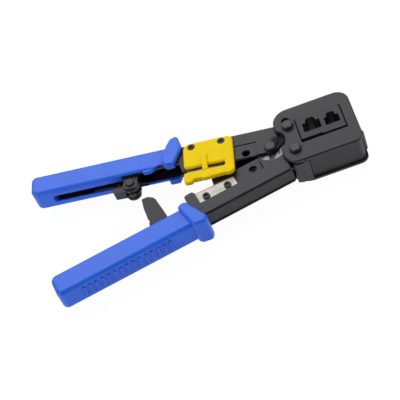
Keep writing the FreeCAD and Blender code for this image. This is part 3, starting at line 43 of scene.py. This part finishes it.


# ---------------------------------------------------------------- head shell
# Pressed steel side plates and the bent wall between them, tumbled and sprayed satin black.
# The pressed edges show a paler line: thin spray there, and a painted highlight. The nose bar and
# the rolled post are smoother strip, so they come out glossier, with a lighter paint as painted sheen.

class Field:
    """A socket's output in one node tree. Arithmetic on fields of numbers adds Math nodes."""

    def __init__(self, tree, socket):
        self.tree = tree
        self.socket = socket

    def node(self, kind, settings=None, inputs=None, out=0):
        """Add a node, set its settings first, then give each socket its value or its field."""
        made = self.tree.nodes.new("ShaderNode" + kind)
        for name, value in (settings or {}).items():
            setattr(made, name, value)
        for name, value in (inputs or {}).items():
            if isinstance(value, Field):
                self.tree.links.new(value.socket, made.inputs[name])
            else:
                made.inputs[name].default_value = value
        return Field(self.tree, made.outputs[out])

    def maths(self, operation, first, second):
        """Add a Math node on two fields or numbers."""
        return self.node("Math", {"operation": operation}, {0: first, 1: second})

    def __add__(self, other):
        return self.maths("ADD", self, other)

    def __sub__(self, other):
        return self.maths("SUBTRACT", self, other)

    def __rsub__(self, other):
        return self.maths("SUBTRACT", other, self)

    def __mul__(self, other):
        return self.maths("MULTIPLY", self, other)

    __radd__ = __add__
    __rmul__ = __mul__


class Finish:
    """A material with its shader, and the fields that its patterns start from."""

    def __init__(self, name):
        self.material = bpy.data.materials.new(name)
        self.material.use_nodes = True
        self.tree = self.material.node_tree
        self.shader = self.tree.nodes["Principled BSDF"]
        start = Field(self.tree, None)
        self.add = start.node
        self.place = start.node("TexCoord", out="Object")

    def set(self, **values):
        """Give the shader's sockets, named with underscores, their value or field."""
        for name, value in values.items():
            socket = self.shader.inputs[name.replace("_", " ")]
            if isinstance(value, Field):
                self.tree.links.new(value.socket, socket)
            else:
                socket.default_value = value

    def noise(self, size, detail=2.0, roughness=0.5, place=None):
        """Noise from 0 to 1 with grains of that size in metres."""
        inputs = {"Vector": place or self.place, "Scale": 1 / size, "Detail": detail,
                  "Roughness": roughness}
        return self.add("TexNoise", None, inputs)

    def span(self, value, low, high, to_low=0.0, to_high=1.0):
        """Value carried from one range to another, smoothly and held at its ends."""
        inputs = {"Value": value, "From Min": low, "From Max": high, "To Min": to_low, "To Max": to_high}
        return self.add("MapRange", {"interpolation_type": "SMOOTHSTEP"}, inputs)

    def blend(self, mask, first, second):
        """Colour that goes from first to second as mask goes from 0 to 1."""
        return self.add("Mix", {"data_type": "RGBA"}, {"Factor": mask, "A": first, "B": second}, "Result")

    def rounded(self, radius):
        """Normal of the surface as if its edges were rounded by radius."""
        return self.add("Bevel", {"samples": 8}, {"Radius": radius})

    def edges(self, normal, low=0.02, high=0.25):
        """Mask that is 1 on edges: how far the rounded normal leans from the flat one."""
        flat = self.add("NewGeometry", out="Normal")
        along = self.add("VectorMath", {"operation": "DOT_PRODUCT"}, {0: normal, 1: flat}, "Value")
        return self.span(1 - along, low, high)

    def painted_crevice_shade(self, reach):
        """Painted shade: a mask that is 1 in corners and slots narrower than reach, from ambient
        occlusion.
        """
        open_air = self.add("AmbientOcclusion", {"samples": 8}, {"Distance": reach}, "AO")
        return self.span(open_air, 0.35, 0.9, to_low=1.0, to_high=0.0)

    def bump(self, height, distance, normal, strength):
        """Normal raised by a height field, distance in metres at height 1."""
        inputs = {"Height": height, "Distance": distance, "Strength": strength, "Normal": normal}
        return self.add("Bump", None, inputs, "Normal")

    def coat(self, *names):
        """Put the material on CAD nodes."""
        for name in names:
            mesh = nodes[name].data
            mesh.materials.clear()
            mesh.materials.append(self.material)


def tinted(colour, factor):
    """That colour made brighter or darker by a factor, and never past white."""
    return [min(1.0, part * factor) for part in colour[:3]] + [1.0]


def coated_steel(name, deep, pale, rough, grain, edge=0.45, reach=0.0016, grease_and_shade_patch=None):
    """Sprayed steel: fine orange peel, cloudy gloss, edges paled for thin spray and a painted highlight,
    painted shade in corners.

    deep and pale are the two ends of its slow change of colour, grain the size of the orange peel
    in metres, edge how strongly the edges are paled and reach the width of slots in painted shade.
    grease_and_shade_patch is the point and the radius in metres of a dark patch, grease and painted
    shade.
    """
    finish = Finish(name)
    normal = finish.rounded(0.00022)
    wear_and_highlight = finish.edges(normal)
    cloud = finish.noise(size=0.009, detail=3.0)
    speck = finish.noise(size=grain, roughness=0.6)
    patchy = finish.span(finish.noise(size=0.0013, detail=3.0, roughness=0.7), 0.25, 0.6, to_low=0.35)
    body = finish.blend(finish.span(cloud, 0.3, 0.7), deep, pale)
    # Paler edges: thin spray there, and a painted highlight along them.
    colour = finish.blend(wear_and_highlight * edge * patchy, body, tinted(pale, 3.0))
    # Painted shade: darker and rougher in corners and narrow slots, from ambient occlusion.
    darkening = finish.painted_crevice_shade(reach)
    # A dark patch: grease, and painted shade of the deep notch beside the pivot.
    if grease_and_shade_patch:
        centre, radius = grease_and_shade_patch
        between = {0: finish.place, 1: centre}
        away = finish.add("VectorMath", {"operation": "DISTANCE"}, between, "Value")
        ragged = away + (finish.noise(size=0.003, detail=3.0) - 0.5) * radius
        patch = finish.span(ragged, radius * 0.8, radius * 1.2, to_low=0.75, to_high=0.0)
        darkening = darkening.maths("MAXIMUM", darkening, patch)
    finish.set(
        Base_Color=finish.blend(darkening * 0.85, colour, tinted(deep, 0.25)),
        Roughness=rough + darkening * 0.45 + (cloud - 0.5) * 0.12 + (speck - 0.5) * 0.18 - wear_and_highlight * 0.08,
        Normal=finish.bump(speck, distance=0.00004, normal=normal, strength=0.6),
        Metallic=0.0,
        Specular_IOR_Level=0.44,
        Specular_Tint=(0.93, 0.93, 1.0, 1),
    )
    return finish


shell_paint = coated_steel(
    "shell_paint", deep=(0.012, 0.012, 0.014, 1), pale=(0.020, 0.020, 0.023, 1),
    rough=0.46, grain=0.0007, edge=0.7,
)
shell_paint.coat("head_front_plate", "head_rear_plate", "head_side_wall", "die_backing_block")
# A lighter copy of the shell paint, as painted sheen on the smoother strip.
post_paint_painted_sheen = coated_steel(
    "post_paint_painted_sheen", deep=(0.022, 0.022, 0.024, 1), pale=(0.034, 0.034, 0.037, 1),
    rough=0.34, grain=0.0007, edge=0.7,
)
post_paint_painted_sheen.coat("head_nose_bar", "head_corner_post")


# ---------------------------------------------------------------- die block
# Block that the plugs push into, moulded in black glass-filled nylon. Its faint grain and dull
# pockets look much like the spray, so it has the same finish with a finer grain. Its painted
# shade reaches further, so the pockets are painted darker.

die_nylon = coated_steel(
    "die_nylon", deep=(0.009, 0.009, 0.011, 1), pale=(0.016, 0.016, 0.019, 1),
    rough=0.46, grain=0.0004, edge=0.35, reach=0.005,
)
die_nylon.coat("die_block")


# ---------------------------------------------------------------- plunger and its punches
# The plunger is phosphated steel, matt and fine grained. The comb blades, the pressing bars and
# the trimming blade screwed on it are ground tool steel.

phosphate = coated_steel(
    "phosphate", deep=(0.020, 0.020, 0.022, 1), pale=(0.032, 0.032, 0.034, 1),
    rough=0.6, grain=0.0003, edge=0.3,
)
phosphate.coat("crimp_plunger")


def ground_steel(name, colour, rough, line, darkening=0.0, cutting_edge=None):
    """Bare steel with fine grinding lines along x, a little stain and, where asked, black oil.

    line is the width of the grinding lines in metres. cutting_edge is a direction into the blade
    and the edge's distance along it in metres: a brown painted reflection of the yellow guard lies there.
    """
    finish = Finish(name)
    normal = finish.rounded(0.00012)
    stretch = finish.add("Mapping", None, {"Vector": finish.place, "Scale": (0.04, 1.0, 1.0)})
    lines = finish.noise(size=line, detail=4.0, roughness=0.7, place=stretch)
    stain = finish.noise(size=0.005, detail=3.0)
    stained = finish.blend(finish.span(stain, 0.35, 0.7, to_high=0.8), colour, tinted(colour, 0.82))
    if cutting_edge:
        direction, distance = cutting_edge
        across = {0: finish.place, 1: direction}
        inwards = finish.add("VectorMath", {"operation": "DOT_PRODUCT"}, across, "Value") - distance
        # Painted reflection of the yellow guard: a brown band along the edge.
        guard_reflection = finish.span(inwards, 0.0008, 0.0017, to_low=0.9, to_high=0.0)
        stained = finish.blend(guard_reflection, stained, (0.34, 0.17, 0.045, 1))
    oily = finish.span(finish.noise(size=0.0045), 0.47, 0.6)
    finish.set(
        Base_Color=finish.blend(oily * darkening, stained, tinted(colour, 0.15)),
        Roughness=rough + (lines - 0.5) * 0.2 + (stain - 0.5) * 0.1,
        Metallic=1.0,
        Normal=finish.bump(lines, distance=0.000012, normal=normal, strength=0.5),
    )
    return finish


tool_steel = ground_steel("tool_steel", (0.45, 0.44, 0.42, 1), rough=0.36, line=0.00035, darkening=0.2)
tool_steel.coat("contact_punch_8p", "contact_punch_6p", "strain_relief_punch", "trimming_blade")


# ---------------------------------------------------------------- arms
# Pressed channels of the two handles, sprayed like the head and a little glossier. A dark patch
# beside the main pivot, on the side towards the head, is its grease and painted shade of the notch.

washers_low, washers_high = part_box("main_pivot_washers")
pivot = (washers_low + washers_high) / 2
# Centre of that dark patch, grease and painted shade together.
grease_and_shade_centre = Vector((pivot.x + 0.007, pivot.y + 0.003, washers_high.z))
arm_paint = coated_steel(
    "arm_paint", deep=(0.010, 0.010, 0.012, 1), pale=(0.020, 0.020, 0.023, 1),
    rough=0.44, grain=0.0008, grease_and_shade_patch=(grease_and_shade_centre, 0.0062),
)
arm_paint.coat("lower_arm_channel", "upper_arm_channel", "lower_arm_front_plate", "lower_arm_rear_plate",
               "handle_stop")


# ---------------------------------------------------------------- pins and screws
# Turned pins and socket screws in black oxide, bright on their chamfers from rubbed wear and a
# painted glint. A retaining ring on the rear side holds each pin.

def oxide(name, colour, rough, edge):
    """Black oxide on turned steel: dark, partly metallic, with a bright rim, rubbed wear and a painted
    glint.
    """
    finish = Finish(name)
    normal = finish.rounded(0.0002)
    wear_and_highlight = finish.edges(normal)
    smear = finish.noise(size=0.0012, detail=3.0, roughness=0.65)
    # Bright rim on the chamfers: rubbed wear, and a painted glint.
    finish.set(
        Base_Color=finish.blend(wear_and_highlight * edge * smear, colour, tinted(colour, 12.0)),
        Roughness=rough + (smear - 0.5) * 0.22,
        Metallic=0.35,
        Normal=finish.bump(finish.noise(size=0.0005), distance=0.00002, normal=normal, strength=0.5),
    )
    return finish


pin_oxide = oxide("pin_oxide", (0.028, 0.028, 0.031, 1), rough=0.38, edge=0.9)
pin_oxide.coat("head_pivot_pin", "plunger_pin", "main_pivot_pin", "head_pivot_clip", "plunger_pin_clip",
               "main_pivot_clip", "head_pivot_spacer", "plunger_pin_spacer", "strike_plate_rivets")
screw_oxide = oxide("screw_oxide", (0.014, 0.014, 0.016, 1), rough=0.42, edge=0.5)
screw_oxide.coat("head_screws", "trimming_blade_screws", "cutter_blade_screws", "guard_screws",
                 "arm_set_screw")


# ---------------------------------------------------------------- washers, blade and anvil
# Bare ground steel: the washers between the arms, the cable cutter's blade and its anvil.
# The blade lies along the leaning lower arm, with its edge towards the upper one.

washer_steel = ground_steel("washer_steel", (0.18, 0.175, 0.20, 1), rough=0.36, line=0.0003, darkening=0.9)
washer_steel.coat("main_pivot_washers")

blade_lean = radians(7.27)
blade_inwards = Vector((sin(blade_lean), -cos(blade_lean), 0.0))
blade_edge = min(blade_inwards.dot(corner.co) for corner in nodes["cutter_blade"].data.vertices)
bright_steel = (0.34, 0.325, 0.305, 1)
# The brown band along its edge is a painted reflection of the guard.
blade_steel = ground_steel(
    "blade_steel", bright_steel, rough=0.44, line=0.0004, darkening=0.1,
    cutting_edge=(blade_inwards, blade_edge),
)
blade_steel.coat("cutter_blade")
anvil_steel = ground_steel("anvil_steel", bright_steel, rough=0.44, line=0.0004, darkening=0.3)
anvil_steel.coat("cutting_anvil")


# ---------------------------------------------------------------- catch
# Stamped catch, its bracket and the plate it locks on, in dark grey coated steel. The spring
# that pulls the catch is drawn wire, blued almost black.

catch_paint = coated_steel(
    "catch_paint", deep=(0.022, 0.022, 0.024, 1), pale=(0.034, 0.034, 0.037, 1),
    rough=0.52, grain=0.0006, edge=0.3,
)
catch_paint.coat("strike_plate", "catch_bracket", "catch_rivet", "lock_catch")
spring_steel = ground_steel("spring_steel", (0.040, 0.040, 0.043, 1), rough=0.42, line=0.0003)
spring_steel.coat("catch_spring")


# ---------------------------------------------------------------- grips
# Moulded grips in blue polypropylene, pushed over the ends of the channels. The mould leaves a
# fine spark texture under a soft gloss.

def moulded(name, deep, pale, rough, grain, relief, radius, gloss):
    """Moulded plastic: a fine texture from the mould, slow change of colour, soft gloss.

    grain is the size of the texture, relief its depth and radius the rounding of the edges, in
    metres. Edges are paler, for rubbed wear and a painted highlight, and recesses get painted shade,
    the colour multiplied by itself, as light between like walls.
    """
    finish = Finish(name)
    normal = finish.rounded(radius)
    cloud = finish.noise(size=0.018)
    fine = finish.noise(size=grain, detail=3.0, roughness=0.6)
    body = finish.blend(finish.span(cloud, 0.3, 0.7), deep, pale)
    # Paler edges: rubbed wear, and a painted highlight.
    rubbed_and_highlit = finish.blend(finish.edges(normal) * 0.5, body, tinted(pale, 1.12))
    # Painted shade colour for the recesses.
    shaded = [part * part * 0.5 for part in deep[:3]] + [1.0]
    finish.set(
        Base_Color=finish.blend(finish.painted_crevice_shade(0.0022) * 0.2, rubbed_and_highlit, shaded),
        Roughness=rough + (fine - 0.5) * 0.14 + (cloud - 0.5) * 0.06,
        Specular_IOR_Level=gloss,
        Normal=finish.bump(fine, distance=relief, normal=normal, strength=0.5),
    )
    return finish


grip_blue = moulded(
    "grip_blue", deep=(0.018, 0.136, 0.830, 1), pale=(0.022, 0.150, 0.880, 1),
    rough=0.38, grain=0.0005, relief=0.00003, radius=0.0015, gloss=0.40,
)
grip_blue.coat("upper_grip", "lower_grip", "lower_grip_ribs")


# ---------------------------------------------------------------- blade guard
# Moulded guard over the cable cutter, in yellow plastic. Two screws hold it on the upper arm.
# The same mould work as the grips, with sharper edges and less shine.

guard_yellow = moulded(
    "guard_yellow", deep=(0.980, 0.680, 0.002, 1), pale=(1.000, 0.730, 0.002, 1),
    rough=0.42, grain=0.0006, relief=0.00002, radius=0.0006, gloss=0.06,
)
guard_yellow.coat("blade_guard")


# ---------------------------------------------------------------- floor
# A plain white sheet of paper just under the tool. It is mostly its own white to the camera and
# in reflections, and keeps a faint shadow.

half_side = 1.5
floor_height = cad_low.z - 0.0002
corner_signs = ((-1, -1), (1, -1), (1, 1), (-1, 1))
floor_corners = [(x * half_side, y * half_side, floor_height) for x, y in corner_signs]
floor_mesh = bpy.data.meshes.new("floor")
floor_mesh.from_pydata(floor_corners, [], [(0, 1, 2, 3)])
floor = bpy.data.objects.new("floor", floor_mesh)
bpy.context.scene.collection.objects.link(floor)

paper = Finish("paper")
paper.set(Base_Color=(0.92, 0.92, 0.92, 1), Roughness=0.9)
seen = paper.add("LightPath", out="Is Camera Ray") + paper.add("LightPath", out="Is Glossy Ray")
seen = seen + paper.add("LightPath", out="Is Transmission Ray")
glow = paper.add("Emission", None, {"Color": (1, 1, 1, 1), "Strength": 1.06})
surface = Field(paper.tree, paper.shader.outputs[0])
mixed = paper.add("MixShader", None, {0: seen * 0.9, 1: surface, 2: glow})
paper.tree.links.new(mixed.socket, paper.tree.nodes["Material Output"].inputs["Surface"])
floor_mesh.materials.append(paper.material)


# ---------------------------------------------------------------- studio light
# White walls all round, but dark above the lower handle, so that the sides that face it stay deeper
# in tone than the top faces. A large softbox stands high behind the upper handle, and a smaller
# one beyond each end of the tool.

world = bpy.data.worlds.new("studio")
bpy.context.scene.world = world
world.use_nodes = True
background = world.node_tree.nodes["Background"]
sky = Field(world.node_tree, None)
dark_side = Vector((0.05, -0.72, 0.69))
facing = {0: sky.node("TexCoord", out="Generated"), 1: dark_side}
towards = sky.node("VectorMath", {"operation": "DOT_PRODUCT"}, facing, "Value")
fade = {"Value": towards, "From Min": 0.45, "From Max": 0.88, "To Min": 0.44, "To Max": 0.02}
level = sky.node("MapRange", {"interpolation_type": "SMOOTHSTEP"}, fade)
level = level.maths("MAXIMUM", level, sky.node("LightPath", out="Is Camera Ray"))
world.node_tree.links.new(level.socket, background.inputs["Strength"])
background.inputs["Color"].default_value = (1, 1, 1, 1)


def softbox(name, place, target, width, depth, power):
    """Rectangular lamp at a place, facing a target, with its power in watts."""
    lamp = bpy.data.lights.new(name, "AREA")
    lamp.shape = "RECTANGLE"
    lamp.size = width
    lamp.size_y = depth
    lamp.energy = power
    holder = bpy.data.objects.new(name, lamp)
    holder.location = place
    holder.rotation_euler = (Vector(target) - Vector(place)).to_track_quat("-Z", "Y").to_euler()
    bpy.context.scene.collection.objects.link(holder)


middle = (-0.07, 0.0, 0.0)
softbox("overhead", place=(-0.14, 0.70, 0.85), target=middle, width=1.1, depth=0.9, power=7.5)
softbox("left", place=(-1.0, -0.6, 0.45), target=middle, width=0.7, depth=0.7, power=4.2)
softbox("right", place=(1.0, -0.5, 0.45), target=(-0.05, 0.0, 0.0), width=0.7, depth=0.7, power=4.5)


# ---------------------------------------------------------------- camera
# A long lens that looks down on the front face from beyond the lower handle. It is placed by
# the point it aims at, its direction and distance from there, and its roll.

aim = Vector((-0.08475, -0.02867, 0.0))
azimuth = radians(6.122)
elevation = radians(49.471)
roll = radians(-24.145)
distance = 0.86938

camera_data = bpy.data.cameras.new("camera")
camera_data.sensor_width = 36.0
camera_data.lens = 120.54
camera_data.clip_end = 10.0
camera = bpy.data.objects.new("camera", camera_data)
bpy.context.scene.collection.objects.link(camera)
turn = Matrix.Rotation(azimuth, 4, "Z") @ Matrix.Rotation(pi / 2 - elevation, 4, "X")
turn = turn @ Matrix.Rotation(roll, 4, "Z")
camera.matrix_world = Matrix.Translation(aim) @ turn @ Matrix.Translation((0.0, 0.0, distance))
bpy.context.scene.camera = camera
bpy.context.scene.view_settings.view_transform = "Standard"
